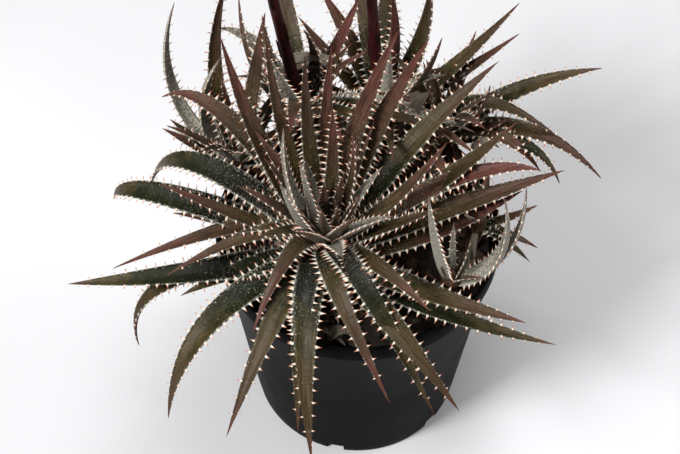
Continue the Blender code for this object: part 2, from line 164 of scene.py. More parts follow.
def new_material(name, **sockets):
    """A material and its node tree, with its constants set on the shader's own sockets."""
    material = bpy.data.materials.new(name)
    material.use_nodes = True
    shader = material.node_tree.nodes["Principled BSDF"]
    for socket, value in sockets.items():
        shader.inputs[socket.replace("_", " ")].default_value = value
    return material, material.node_tree


def finish_material(material, colour, relief=None, strength=0.0, distance=0.0, roughness=None):
    """Feeds the shader its colour and, where the material has them, its relief and roughness."""
    tree = material.node_tree
    shader = tree.nodes["Principled BSDF"]
    tree.links.new(colour, shader.inputs["Base Color"])
    if relief is not None:
        bump = add_node(tree, "Bump", {"Height": relief, "Strength": strength, "Distance": distance})
        tree.links.new(bump, shader.inputs["Normal"])
    if roughness is not None:
        tree.links.new(roughness, shader.inputs["Roughness"])
    print(material.name, len(tree.nodes), "nodes")


def finish_piece(name, mesh, material, node=None, smooth=True):
    """Makes an object at the origin from a bmesh, and ties it to the frame."""
    data = mesh_data(name, mesh)
    if smooth:
        data.shade_smooth()
    else:
        data.shade_flat()
    data.materials.append(material)
    piece = new_object(name, data)
    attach(piece, "root")
    if node:
        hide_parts(node)
    data.calc_loop_triangles()
    print(name, len(data.loop_triangles), "triangles")
    return piece


# %% [markdown]
# ## The floor and the light
# The photograph has a pale sweep under the plant, brightest in the middle. A large plane does it.
# The light is soft: a lamp high on the left in front, a weaker one on the right, one overhead
# from behind, and a pale sky that fills the shadows.

# %% Floor and lights
FLOOR_REACH = 3
SKY_STRENGTH = 0.17
LAMP_AIM = Vector((0, 0, 0.2))

floor_skin, tree = new_material("painted_floor", Roughness=0.9)
place = add_node(tree, "TexCoord", output="Object")
mottle = add_node(tree, "TexNoise", {"Vector": place, "Scale": 3.0})
paint = add_node(tree, "ValToRGB", {"Fac": mottle}, stops=[(0.3, "#d2d2d4"), (0.7, "#dadadc")])
finish_material(floor_skin, paint)

floor_mesh = bmesh.new()
bmesh.ops.create_grid(floor_mesh, x_segments=1, y_segments=1, size=FLOOR_REACH)
floor = new_object("floor", mesh_data("floor", floor_mesh))
floor.data.materials.append(floor_skin)

world = bpy.data.worlds.new("sky")
bpy.context.scene.world = world
world.use_nodes = True
world.node_tree.nodes["Background"].inputs["Color"].default_value = linear("#f5f5f4")
world.node_tree.nodes["Background"].inputs["Strength"].default_value = SKY_STRENGTH
bpy.context.scene.view_settings.view_transform = "Standard"


def add_lamp(name, place, size, power):
    """A square soft box aimed at the middle of the plant."""
    light = bpy.data.lights.new(name, "AREA")
    light.shape = "SQUARE"
    light.size = size
    light.energy = power
    lamp = new_object(name, light)
    lamp.location = place
    lamp.rotation_euler = (LAMP_AIM - lamp.location).to_track_quat("-Z", "Y").to_euler()
    print(name, power, "W")


add_lamp("soft_box_left", Vector((-0.8, -0.6, 1.3)), 0.35, 26)
add_lamp("soft_box_right", Vector((1.1, 0.2, 1.0)), 0.6, 8)
add_lamp("soft_box_top", Vector((0.1, 0.3, 1.7)), 0.5, 12)

# %% [markdown]
# ## Where the leaves grow
# A dyckia leaf is a stiff blade that leaves a short stem and arches over. One curve with a root, a
# knee and a tip describes it. The leaves that the photograph shows are listed by the pixel of
# their tip and its height, and the rest fill the heads on the golden angle, as a real rosette
# does. These are the CAD model's own rules, repeated here so that both grow the same plant. Only
# the blades are wider here, because the leaves in the photograph measure wider than the CAD's.

# %% Sizes of the plant
SOIL_TOP = 152 * MM
STEM_DEPTH = 26 * MM
CHANNEL = 0.15
KEEL_THICKNESS = 0.22
TIP_THICKNESS = 1.1 * MM
BASE_REACH = 0.5
ROOT_SPREAD = 2.9
TAPER = 2.3
WAIST = 0.4
WAIST_SHARE = 0.22
FULLNESS = 1.14
ROOT_WIDTH = 1.05
ROOT_NARROWING = 0.7
CURVE_STEPS = 16
GOLDEN_ANGLE = math.radians(137.508)
STALK_RADIUS = 4.0 * MM
STALK_ROOM = 1.45

# Each row: the tip's pixel, its height in mm, the rise in degrees, the width in mm, the root's
# turn in degrees and, for a leaf that bends earlier or later than most, the reach of its knee.
FRONT_LEAVES = [
    (67, 284, 178, 13, 16.0, 10),
    (111, 269, 184, 57, 13.0, -27, 0.3),
    (165, 276, 190, 53, 11.0, -19, 0.4),
    (139, 346, 129, 8, 11.0, -10, 1.03),
    (180, 296, 170, 18, 13.0, 0),
    (168, 419, 129, 16, 15.5, -10, 0.76),
    (252, 334, 172, 58, 10.5, -22),
    (226, 438, 137, 36, 15.0, -4, 0.36),
    (312, 464, 130, 32, 15.5, -14),
    (298, 434, 122, 42, 13.0, -12),
    (391, 406, 156, 48, 11.0, -26),
    (460, 412, 140, 30, 15.5, -14),
    (436, 418, 128, 50, 12.0, -14),
    (431, 312, 196, 42, 11.0, 2),
    (527, 323, 186, 8, 14.0, -4),
    (557, 345, 167, 8, 13.0, -17, 0.47),
    (565, 170, 220, 19, 14.5, 2, 0.55),
    (542, 171, 234, 35, 12.0, 12, 0.78),
    (523, 190, 206, 6, 14.0, -6),
    (440, 208, 240, 40, 9.0, 8),
    (447, 142, 260, 44, 11.0, -4),
    (518, 121, 256, 28, 14.5, 0),
    (499, 61, 264, 38, 14.5, 10),
    (430, 38, 286, 48, 12.5, 14),
    (400, 28, 298, 54, 11.5, 18),
    (332, 43, 302, 62, 9.0, 8),
    (305, 54, 300, 66, 9.5, 8),
    (265, 32, 294, 58, 10.0, 14),
    (220, 35, 282, 48, 13.0, 14),
    (161, 97, 237, 46, 12.0, -12, 0.96),
    (284, 128, 274, 66, 9.5, 12),
    (280, 182, 264, 66, 8.5, 0),
    (159, 183, 238, 34, 10.0, 0),
    (114, 198, 181, 28, 16.0, 7, 1.08),
    (151, 186, 171, 44, 15.0, 6, 1.15),
    (332, 106, 286, 74, 8.0, 0),
    (352, 132, 272, 70, 7.0, 0),
    (300, 160, 272, 80, 7.0, 0),
    (172, 213, 190, 30, 12.0, 4),
]
BACK_LEFT_LEAVES = [
    (218, 28, 252, 70, 10.0, -16, 0.8),
    (239, -4, 290, 58, 9.0, 16),
    (262, 14, 290, 62, 11.0, 20),
    (303, 30, 256, 66, 9.0, 0),
    (269, 56, 266, 62, 11.0, 16),
    (362, -8, 262, 60, 10.0, 0),
]
BACK_RIGHT_LEAVES = [
    (318, -14, 244, 50, 11.0, -10),
    (298, 16, 226, 36, 9.0, 0),
    (391, -12, 272, 66, 8.0, -16),
    (388, 38, 258, 80, 7.0, 0),
    (430, -20, 280, 54, 13.0, 0),
    (442, 37, 276, 60, 9.0, 0),
    (520, 2, 259, 29, 13.0, -2, 0.3),
    (520, 33, 245, 23, 11.0, 7, 0.31),
]
RIGHT_LEAVES = [
    (603, 68, 224, 41, 12.0, 6, 0.55),
    (602, 179, 169, 31, 12.0, 10, 0.63),
    (561, 139, 187, 70, 11.0, 16, 0.66),
    (560, 184, 175, 27, 9.0, 10, 0.83),
    (490, 85, 236, 50, 8.0, 0),
    (508, 119, 208, 30, 9.0, 0),
    (495, 136, 198, 26, 9.0, 0),
    (541, 172, 180, 40, 11.0, 8, 0.7),
]
LEFT_LEAVES = [
    (175, 2, 280, 29, 9.0, 23, 0.58),
    (221, 58, 268, 39, 12.0, 24, 0.44),
    (228, -24, 286, 51, 10.0, 31),
    (162, 128, 200, 26, 8.0, 0),
    (170, 119, 212, 34, 8.0, 0),
    (265, 12, 288, 70, 10.0, 8, 0.54),
]
NEAR_PUP_LEAVES = [
    (429, 196, 262, 76, 9.0, 0),
    (504, 198, 236, 34, 11.0, -24),
    (526, 187, 238, 30, 8.0, -20),
    (471, 239, 212, 76, 6.0, 0),
]
FAR_PUP_LEAVES = [
    (537, 205, 200, 34, 6.0, 0),
    (538, 248, 180, 30, 6.0, 0),
    (530, 262, 176, 30, 6.0, 0),
]
print("leaves seen on the front head:", len(FRONT_LEAVES))


# %% The leaf's curve
def photo_point(pixel, height):
    """The point at this height that the camera sees at this pixel."""
    across = (pixel[0] - PHOTO_SIZE[0] / 2) / FOCAL_PX
    above = (PHOTO_SIZE[1] / 2 - pixel[1]) / FOCAL_PX
    ray = VIEW_FORWARD + Vector((1, 0, 0)) * across + VIEW_UPWARD * above
    return EYE + ray * ((height - EYE.z) / ray.z)


def radial(azimuth):
    return Vector((math.cos(azimuth), math.sin(azimuth), 0))


class Leaf:
    """One blade: a curve from its root on the stem to its tip, and a width."""

    def __init__(self, rosette, tip, rise, width, root_turn=0.0, reach=BASE_REACH):
        out = tip - rosette.centre
        azimuth = math.atan2(out.y, out.x) + root_turn
        steep = rise / (math.pi / 2)
        root_share = ROOT_WIDTH - ROOT_NARROWING * steep
        root_radius = max(rosette.stem_radius * root_share, rosette.heart)
        root_height = rosette.collar + rosette.stem_radius * (ROOT_SPREAD * steep - 1)
        self.side = Vector((-math.sin(azimuth), math.cos(azimuth), 0))
        self.root = rosette.centre + radial(azimuth) * root_radius
        self.root.z = root_height
        start = radial(azimuth) * math.cos(rise) + Vector((0, 0, math.sin(rise)))
        self.knee = self.root + start * (tip - self.root).length * reach
        self.tip = tip
        self.width = width
        self.length = self.measured_length()

    def point(self, share):
        rest = 1 - share
        return self.root * rest**2 + self.knee * (2 * rest * share) + self.tip * share**2

    def frame(self, share):
        """Unit vectors along the blade, across it and out of its upper face."""
        rest = 1 - share
        along = (self.knee - self.root) * rest + (self.tip - self.knee) * share
        along.normalize()
        across = (self.side - along * self.side.dot(along)).normalized()
        return along, across, along.cross(across)

    def measured_length(self):
        points = [self.point(step / CURVE_STEPS) for step in range(CURVE_STEPS + 1)]
        return sum((b - a).length for a, b in zip(points, points[1:]))

    def half_width(self, share):
        waist = max(0.0, 1 - share / WAIST_SHARE) ** 2
        return 0.5 * FULLNESS * self.width * (1 - share**TAPER) * (1 - WAIST * waist)


# %% The heads of leaves
class Rosette:
    """Where one head stands, what is seen of it, its leaf tones and how the rest is filled in."""

    def __init__(self, name, foot, head, collar, stem_radius, seen, tones, fill, length, width, turn):
        self.name = name
        self.foot = Vector((*foot, 0)) * MM
        self.centre = Vector((*head, 0)) * MM
        self.collar = collar * MM
        self.stem_radius = stem_radius * MM
        self.seen = seen
        self.tones = tones.replace(" ", "")
        self.fill = fill
        self.length = length * MM
        self.width = width * MM
        self.turn = math.radians(turn)
        self.heart = 0.0


# A letter for each leaf seen: g dark green, o olive, b brown, m maroon, r red, s silver.
FRONT_TONES = "gbbog oboog bogbo gbrmb boomm mbbbb ssbgg mmsb"
ROSETTES = [
    Rosette(
        "rosette_front", (-18, -20), (-18, -20), 177, 9.5, FRONT_LEAVES, FRONT_TONES,
        fill=2, length=118, width=13, turn=86,
    ),
    Rosette(
        "rosette_back_left", (-30, 56), (-33, 67), 185, 8.5, BACK_LEFT_LEAVES, "sbomsr",
        fill=17, length=112, width=12, turn=20.5,
    ),
    Rosette(
        "rosette_back_right", (12, 58), (13, 69), 183, 8.5, BACK_RIGHT_LEAVES, "bbrsobob",
        fill=20, length=116, width=12.5, turn=50.4,
    ),
    Rosette(
        "rosette_right", (47, 44), (49, 56), 181, 7, RIGHT_LEAVES, "obogmbgm",
        fill=12, length=90, width=11, turn=10.6,
    ),
    Rosette(
        "rosette_left", (-60, 24), (-69, 32), 182, 6.5, LEFT_LEAVES, "ssbbgb",
        fill=10, length=84, width=10, turn=133,
    ),
    Rosette(
        "pup_near", (52, -38), (52, -38), 166, 4.5, NEAR_PUP_LEAVES, "sssg",
        fill=4, length=46, width=7, turn=262,
    ),
    Rosette(
        "pup_far", (66, -4), (68, -4), 173, 4.5, FAR_PUP_LEAVES, "bbg",
        fill=4, length=34, width=6.5, turn=40,
    ),
]
STALKS = {
    "stalk_left": ("rosette_back_left", Vector((-33, 67, 184)) * MM, Vector((-60, 62, 392)) * MM),
    "stalk_right": ("rosette_back_right", Vector((13, 69, 182)) * MM, Vector((0, 70, 384)) * MM),
}
for carrier, foot, top in STALKS.values():
    next(r for r in ROSETTES if r.name == carrier).heart = STALK_RADIUS * STALK_ROOM
print("heads with a stalk:", [rosette.name for rosette in ROSETTES if rosette.heart])

# %% Grow the leaves
# Angles in degrees. A gain or loss is what the last, innermost leaf has more or less of.
FILL_RISE = 18
FILL_RISE_GAIN = 58
STEEPEST = 82
FILL_LEAN = 34
FILL_LEAN_LOSS = 22
FILL_LENGTH_LOSS = 0.45
FILL_WIDTH_LOSS = 0.35
TRIAL_TURN = math.radians(7)
TRIAL_LIFT = math.radians(5)
TIP_MATCH = 0.1 * MM


def fill_leaf(rosette, index, count, shift, lift):
    """A leaf on the golden spiral: the first ones are low and long, the last ones steep and short."""
    rank = (index + 0.5) / count
    azimuth = rosette.turn + index * GOLDEN_ANGLE + shift
    rise = min(math.radians(FILL_RISE + FILL_RISE_GAIN * rank) + lift, math.radians(STEEPEST))
    length = rosette.length * (1 - FILL_LENGTH_LOSS * rank)
    lean = rise - math.radians(FILL_LEAN - FILL_LEAN_LOSS * rank)
    tip = rosette.centre + radial(azimuth) * length * math.cos(lean)
    tip.z = rosette.collar + length * math.sin(lean)
    return Leaf(rosette, tip, rise, rosette.width * (1 - FILL_WIDTH_LOSS * rank))


def trials():
    """The small turns and lifts that the CAD model tries for a leaf, in its order."""
    yield 0.0, 0.0
    for size in range(1, 9):
        for shift, lift in ((1, 0), (-1, 0), (0, 1), (1, 1), (-1, 1), (0, -0.5)):
            yield shift * TRIAL_TURN * size, lift * TRIAL_LIFT * size


def corners_of(node):
    """A search tree of a CAD node's corners."""
    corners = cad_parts[node].data.vertices
    tree = KDTree(len(corners))
    for index, corner in enumerate(corners):
        tree.insert(corner.co, index)
    tree.balance()
    return tree


def grow_leaves(rosette):
    """The leaves seen, then the fill leaves whose tips the CAD node has."""
    leaves = []
    for u, v, height, rise, width, turn, *reach in rosette.seen:
        bend = (math.radians(rise), width * MM, math.radians(turn), *reach)
        leaves.append(Leaf(rosette, photo_point((u, v), height * MM), *bend))
    corners = corners_of(rosette.name)
    for index in range(rosette.fill):
        for shift, lift in trials():
            leaf = fill_leaf(rosette, index, rosette.fill, shift, lift)
            if corners.find(leaf.tip)[2] < TIP_MATCH:
                leaves.append(leaf)
                break
    return leaves


grown = {rosette.name: grow_leaves(rosette) for rosette in ROSETTES}
print("leaves grown:", {name: len(leaves) for name, leaves in grown.items()})

# %% [markdown]
# ## Young leaves in the hearts
# The middle of a head is packed with short young leaves, too fine and too many for the CAD model.
# They follow the same golden spiral, and grow shorter, narrower and steeper towards the centre.

# %% Young leaves
YOUNG_COUNT = {"rosette_front": 22, "rosette_right": 9, "rosette_left": 9, "pup_near": 5, "pup_far": 5}


def young_leaf(rosette, index, count):
    rank = (index + 0.5) / count
    azimuth = rosette.turn + (index + 0.4) * GOLDEN_ANGLE + random.uniform(-0.12, 0.12)
    rise = math.radians(58 + 27 * rank)
    length = rosette.stem_radius * (8.4 - 5.2 * rank) * random.uniform(0.88, 1.1)
    lean = rise - math.radians(16 * (1 - rank))
    tip = rosette.centre + radial(azimuth) * length * math.cos(lean)
    tip.z = rosette.collar + rosette.stem_radius * 1.2 + length * math.sin(lean)
    return Leaf(rosette, tip, rise, rosette.stem_radius * (1.0 - 0.45 * rank))


def young_leaves(rosette):
    """The young leaves of a head. The heads with a stalk have none."""
    count = YOUNG_COUNT.get(rosette.name, 0)
    return [young_leaf(rosette, index, count) for index in range(count)]


young = {rosette.name: young_leaves(rosette) for rosette in ROSETTES}
print("young leaves:", {name: len(leaves) for name, leaves in young.items()})

# %% [markdown]
# ## The skin of the leaf
# Dyckia leaves have a tough, waxy skin, dark green to maroon, with a scurf of tiny white scales
# that is thickest at the base, at the margins and underneath. Painting it by position in space
# would cut across the leaves, so each blade carries its own values at its corners: how far along
# it is, how far across, whether it is the underside, its pigment and its silver. A noise that is
# stretched along the blade gives the fine lengthwise streaks.

# %% Leaf skin
LEAF_VALUES = ("along", "across", "under", "pigment", "silver")
leaf_skin, tree = new_material("waxy_leaf_skin", IOR=1.45, Specular_IOR_Level=0.18)
along, across, under, pigment, silver = [
    add_node(tree, "Attribute", output="Fac", attribute_name=name) for name in LEAF_VALUES
]
grain = add_node(tree, "Attribute", output="Vector", attribute_name="grain")

# Streaks 0.5 mm wide and 12 mm long, blotches 6 mm by 9 mm, and shallow creases across the blade,
# some 2 mm apart. Scale specks are about 0.2 mm, and are drawn at 0.9 mm, the finest that shows.
streaks = stretched_noise(tree, grain, (2.0, 0.08, 1.0), 3.0)
blotches = stretched_noise(tree, grain, (0.16, 0.11, 1.0), 4.0)
creases = stretched_noise(tree, grain, (0.1, 0.5, 1.0), 3.0)
specks = stretched_noise(tree, grain, (1.25, 0.95, 1.0), 2.0, 0.7)

# The pigment deepens towards the tip, and the blotches break it up. The near-black green at the root
# is partly the leaf's own colour and partly painted shade, where the leaves crowd into the head.
ripeness_and_root_shade = weighted_sum(tree, [(along, 0.78), (pigment, 1.0), (blotches, 0.5)], -0.61)
upper_stops = [(0.0, "#090d02"), (0.24, "#1b2108"), (0.46, "#4f432a"), (0.72, "#534032"), (1.0, "#6a423a")]
lower_stops = [(0.0, "#23270f"), (0.6, "#48392a"), (1.0, "#5f3e34")]
upper = add_node(tree, "ValToRGB", {"Fac": ripeness_and_root_shade}, stops=upper_stops)
lower = add_node(tree, "ValToRGB", {"Fac": ripeness_and_root_shade}, stops=lower_stops)
streaked = add_node(tree, "ValToRGB", {"Fac": streaks}, stops=[(0.34, "#6e675b"), (0.66, "#ffffff")])
upper = add_node(
    tree, "Mix", {0: 0.75, 6: upper, 7: streaked}, 2, data_type="RGBA", blend_type="MULTIPLY"
)
skin = add_node(tree, "Mix", {0: under, 6: upper, 7: lower}, 2, data_type="RGBA")

# Scurf: specks that thicken towards the root, the margins and the underside.
rootward = add_node(tree, "MapRange", {"Value": along, "From Max": 0.62, "To Min": 0.11, "To Max": -0.03})
edgeward = add_node(tree, "MapRange", {"Value": across, "From Min": 0.72, "To Max": 0.16})
cover = [(specks, 1.0), (rootward, 1.0), (edgeward, 1.0), (under, 0.08), (silver, 0.2)]
scurf = add_node(
    tree,
    "MapRange",
    {"Value": weighted_sum(tree, cover), "From Min": 0.66, "From Max": 0.73, "To Max": 0.8},
)
greyed = weighted_sum(tree, [(silver, 0.6)])
skin = add_node(tree, "Mix", {0: greyed, 6: skin, 7: linear("#736e66")}, 2, data_type="RGBA")
skin = add_node(tree, "Mix", {0: scurf, 6: skin, 7: linear("#b0ac9f")}, 2, data_type="RGBA")

# The last tenth of a leaf dries out to a rusty point.
dry_tip = add_node(tree, "MapRange", {"Value": along, "From Min": 0.9, "To Max": 0.8})
skin = add_node(tree, "Mix", {0: dry_tip, 6: skin, 7: linear("#5a3022")}, 2, data_type="RGBA")

relief = weighted_sum(tree, [(streaks, 0.6), (specks, 0.3), (creases, 1.2)])
roughness = add_node(tree, "MapRange", {"Value": scurf, "To Min": 0.42, "To Max": 0.8})
finish_material(leaf_skin, skin, relief, 0.5, 0.0006, roughness)

# %% [markdown]
# ## The leaf blades
# A blade is a thick channelled gutter with a rounded keel and thin margins, tapering to a point.
# It could be lofted section by section. It is easier to make one straight blade with the right
# section, extruded step by step to a length of 1, and to bend a copy of it onto each leaf's curve.


# %% One straight blade
# The section's two faces: across as a share of the half width, height as a share of the thickness.
UPPER_FACE = [(1, 0), (0.7, -0.15), (0.35, -0.28), (0, -0.33), (-0.35, -0.28), (-0.7, -0.15), (-1, 0)]
LOWER_LEFT = [(-0.97, -0.14), (-0.7, -0.46), (-0.34, -0.8)]
LOWER_FACE = LOWER_LEFT + [(0, -0.95)] + [(-x, y) for x, y in reversed(LOWER_LEFT)]
POINT_SHARE = 0.985


def straight_blade(steps):
    """A closed blade along Z from 0 to 1, with its section between -1 and 1 across X."""
    mesh = bmesh.new()
    ring = [mesh.verts.new((x, y, 0)) for x, y in UPPER_FACE + LOWER_FACE]
    edges = [mesh.edges.new(pair) for pair in zip(ring, ring[1:] + ring[:1])]
    bmesh.ops.edgeloop_fill(mesh, edges=edges)
    for step in range(steps):
        ring, edges = draw_on(mesh, edges)
        bmesh.ops.translate(mesh, verts=ring, vec=(0, 0, POINT_SHARE / steps))
    ring, edges = draw_on(mesh, edges)
    bmesh.ops.pointmerge(mesh, verts=ring, merge_co=(0, -0.5, 1))
    bmesh.ops.recalc_face_normals(mesh, faces=mesh.faces)
    return mesh


# %% A blade on its curve
# Pigment and silver by letter: g dark green, o olive, b brown, m maroon, r red, s silver.
TONES = {
    "g": (0.14, 0.05),
    "o": (0.38, 0.0),
    "b": (0.56, 0.0),
    "m": (0.7, 0.0),
    "r": (0.92, 0.0),
    "s": (0.42, 0.85),
}
LEAST_HALF_WIDTH = 0.15 * MM
TIP_THINNING = 0.6
CHANNEL_DIP = 0.33
LOWER_CORNERS = -0.34
UNDERSIDE_SHIFT = 40
GRAIN_SPAN = 400


def add_blade(head, leaf, steps, pigment, silver, seed):
    """Bends a straight blade onto a leaf's curve and adds it to a head's mesh.

    Its grain is in millimetres across and along, and the seed keeps one blade's from another's.
    """
    blade = straight_blade(steps)
    layers = {name: blade.verts.layers.float.new(name) for name in LEAF_VALUES}
    place = blade.verts.layers.float_vector.new("grain")
    for vert in blade.verts:
        x, y, share = vert.co
        along, across, above = leaf.frame(share)
        half = max(leaf.half_width(min(share, 1)), LEAST_HALF_WIDTH)
        thick = 2 * half * (CHANNEL + KEEL_THICKNESS) + TIP_THICKNESS * (1 - TIP_THINNING * share**3)
        vert[layers["along"]] = share
        vert[layers["across"]] = abs(x)
        vert[layers["under"]] = 1.0 if y < -CHANNEL_DIP * max(0.0, 1 - x * x) - 0.05 else 0.0
        vert[layers["pigment"]] = pigment
        vert[layers["silver"]] = silver
        shift = UNDERSIDE_SHIFT if y < LOWER_CORNERS else 0
        vert[place] = (x * half / MM + shift, share * leaf.length / MM, seed)
        vert.co = leaf.point(share) + across * x * half + above * y * thick
    join_data(head, mesh_data("blade", blade))


print("corners of a blade's section:", len(UPPER_FACE + LOWER_FACE))


# %% Blades of every head
FILL_TONES = "obgmbosb"
YOUNG_TONES = "msb"
# Young leaves carry more scurf than old ones, but get only a little extra silver here. The rest is held
# back as painted shade, so that the crowded heart stays dark.
YOUNG_SILVER = 0.12
MOST_SILVER = 0.8
BLADE_STEP = 4.5 * MM
LEAST_STEPS = 10


def tone_of(rosette, index):
    """The pigment and silver of a leaf: read from the photograph, or in turn for a fill leaf."""
    seen = index < len(rosette.tones)
    pigment, silver = TONES[rosette.tones[index] if seen else FILL_TONES[index % len(FILL_TONES)]]
    return pigment + random.uniform(-0.07, 0.07), silver * random.uniform(0.8, 1.1)


for rosette in ROSETTES:
    head = bmesh.new()
    for index, leaf in enumerate(grown[rosette.name]):
        steps = max(LEAST_STEPS, round(leaf.length / BLADE_STEP))
        add_blade(head, leaf, steps, *tone_of(rosette, index), random.uniform(0, GRAIN_SPAN))
    for index, leaf in enumerate(young[rosette.name]):
        pigment, silver = TONES[YOUNG_TONES[index % len(YOUNG_TONES)]]
        silver = min(silver + YOUNG_SILVER, MOST_SILVER)
        add_blade(head, leaf, LEAST_STEPS, pigment, silver, random.uniform(0, GRAIN_SPAN))
    finish_piece("leaves_" + rosette.name, head, leaf_skin, rosette.name)

# %% [markdown]
# ## The spines
# Both margins carry hooked white spines with rusty points, close together at the base of a leaf
# and further apart towards its tip. A spine is a small cone with a broad flat foot. One is made
# from a ring, drawn out twice and closed at its point, and its copies are set along each margin.

# %% Spine material
# Horn, chalky at its foot and rusty at its point, with a grain of about 1 mm.
spine_horn, tree = new_material("horny_spine", Roughness=0.5, IOR=1.5)
reach = add_node(tree, "Attribute", output="Fac", attribute_name="reach")
place = add_node(tree, "TexCoord", output="Object")
chalk = add_node(tree, "TexNoise", {"Vector": place, "Scale": 900.0})
worn = weighted_sum(tree, [(reach, 1.0), (chalk, 0.3)], -0.15)
horn_stops = [(0.0, "#8c8474"), (0.22, "#d5ccbf"), (0.5, "#e6d8c8"), (0.7, "#dba887"), (1.0, "#96492e")]
horn = add_node(tree, "ValToRGB", {"Fac": worn}, stops=horn_stops)
finish_material(spine_horn, horn, chalk, 0.2, 0.0004)

# %% One spine
SPINE_LENGTH = 3.9 * MM
SPINE_SIDES = 5
SPINE_SINK = 0.15
SPINE_STAGES = ((0.45, 0.44), (0.35, 0.5))
SPINE_RUST = (0.0, 0.12, 0.26, 0.4)


def drawn_spine(rust):
    """A spine along X from -0.15 to 1: its foot is a ring across Y and Z, and its point leans along Y.

    Rust moves its colours down from the point, as on the old spines of the outer half.
    """
    mesh = bmesh.new()
    reach = mesh.verts.layers.float.new("reach")
    upright = Matrix.Rotation(math.pi / 2, 4, "Y")
    bmesh.ops.create_circle(mesh, segments=SPINE_SIDES, radius=1, matrix=upright)
    bmesh.ops.translate(mesh, verts=mesh.verts, vec=(-SPINE_SINK, 0, 0))
    edges = list(mesh.edges)
    for step, slim in SPINE_STAGES:
        ring, edges = draw_on(mesh, edges)
        bmesh.ops.scale(mesh, verts=ring, vec=(1, slim, slim * 1.2))
        bmesh.ops.translate(mesh, verts=ring, vec=(step, 0.08, 0))
        for vert in ring:
            vert[reach] = min(1.0, vert.co.x + rust)
    ring, edges = draw_on(mesh, edges)
    for vert in ring:
        vert[reach] = 1.0
    bmesh.ops.pointmerge(mesh, verts=ring, merge_co=(1, 0.3, 0))
    bmesh.ops.recalc_face_normals(mesh, faces=mesh.faces)
    return mesh_data("spine", mesh)


SPINES = [drawn_spine(rust) for rust in SPINE_RUST]
print("one spine:", len(SPINES[0].polygons), "faces")


# %% Spines of every head
FIRST_SPINE = 5 * MM
LAST_SPINE = 0.94
SPINE_SPACING = 3.9
SPINE_SPACING_GAIN = 3.0
SPINE_LEAST = 0.46
SPINE_GAIN = 0.5
FULL_SPINE_WIDTH = 8 * MM
SPINE_FOOT = (0.34, 0.16)
AGEING = 3.6


def spine_spots(leaf):
    """Shares along a leaf where its spines stand: about 4 mm apart at the root and 7 mm at the tip."""
    share = FIRST_SPINE / leaf.length
    spots = []
    while share < LAST_SPINE:
        spots.append(share)
        spacing = (SPINE_SPACING + SPINE_SPACING_GAIN * share) * MM
        share += spacing / leaf.length * random.uniform(0.9, 1.1)
    return spots


def add_spines(head, leaf):
    """Sets spines along both margins, smaller towards the tip and on narrow leaves."""
    for sign in (1, -1):
        for share in spine_spots(leaf):
            along, across, above = leaf.frame(share)
            half = leaf.half_width(share)
            out = (across * sign + above * random.uniform(0.0, 0.35)).normalized()
            size = SPINE_LENGTH * (SPINE_LEAST + SPINE_GAIN * 2 * half / leaf.width)
            size *= random.uniform(0.82, 1.12) * min(1.0, leaf.width / FULL_SPINE_WIDTH)
            foot = leaf.point(share) + across * sign * half - above * 0.3 * MM
            up = along.cross(out) * sign
            axes = (out * size, along * SPINE_FOOT[0] * size, up * SPINE_FOOT[1] * size)
            matrix = Matrix([(*row, 0) for row in zip(*axes)] + [(0, 0, 0, 1)])
            matrix.translation = foot
            kind = min(len(SPINES) - 1, int(share * AGEING + random.random()))
            copy = SPINES[kind].copy()
            copy.transform(matrix)
            if matrix.determinant() < 0:
                copy.flip_normals()
            join_data(head, copy)


for rosette in ROSETTES:
    head = bmesh.new()
    for leaf in grown[rosette.name] + young[rosette.name]:
        add_spines(head, leaf)
    finish_piece("spines_" + rosette.name, head, spine_horn, rosette.name)

# %% [markdown]
# ## The stems
# Each head sits on a short stem, wrapped in the dry bases of leaves that died. It shows only from
# low down. A ring drawn up through the same places as the CAD stem makes it.

# %% Stem material
# Papery husks with fibres 1 mm wide and 11 mm long.
dry_stem, tree = new_material("dry_leaf_bases", Roughness=0.85, IOR=1.45)
place = add_node(tree, "TexCoord", output="Object")
fibres = stretched_noise(tree, place, (900, 900, 90), 4.0)
husk_stops = [(0.3, "#2a1c12"), (0.55, "#4c3522"), (0.75, "#8a7355")]
husk = add_node(tree, "ValToRGB", {"Fac": fibres}, stops=husk_stops)
finish_material(dry_stem, husk, fibres, 0.8, 0.001)

# %% Stems
STEM_SIDES = 16

for rosette in ROSETTES:
    radius = rosette.stem_radius
    stages = [
        (rosette.foot, SOIL_TOP - STEM_DEPTH + 1 * MM, radius * 0.96),
        (rosette.foot, SOIL_TOP + 1 * MM, radius * 0.98),
        (rosette.centre, rosette.collar - 1.3 * radius, radius),
        (rosette.centre, rosette.collar - 0.3 * radius, radius * 1.3),
        (rosette.centre, rosette.collar + 0.5 * radius, radius * 1.25),
        (rosette.centre, rosette.collar + 1.6 * radius, max(radius * 0.5, rosette.heart * 1.15)),
    ]
    mesh = bmesh.new()
    bmesh.ops.create_circle(mesh, segments=STEM_SIDES, radius=1, cap_ends=True)
    edges = list(mesh.edges)
    ring = list(mesh.verts)
    for index, (spot, height, size) in enumerate(stages):
        if index:
            ring, edges = draw_on(mesh, edges)
        middle = sum((v.co for v in ring), Vector()) / len(ring)
        wide = (ring[0].co - middle).length
        bmesh.ops.translate(mesh, verts=ring, vec=-middle)
        bmesh.ops.scale(mesh, verts=ring, vec=(size / wide, size / wide, 1))
        bmesh.ops.translate(mesh, verts=ring, vec=spot + Vector((0, 0, height)))
    bmesh.ops.edgeloop_fill(mesh, edges=edges)
    bmesh.ops.recalc_face_normals(mesh, faces=mesh.faces)
    finish_piece("stem_" + rosette.name, mesh, dry_stem, rosette.name)

# %% [markdown]
# ## The dead leaves
# Under every head hangs a skirt of old leaves that have dried to thin, curled, grey and tan
# strips, and a few lie loose between the heads. They are the same blade, bent onto a droop from
# the stem, with a seeded draw for each one's direction, length and twist.

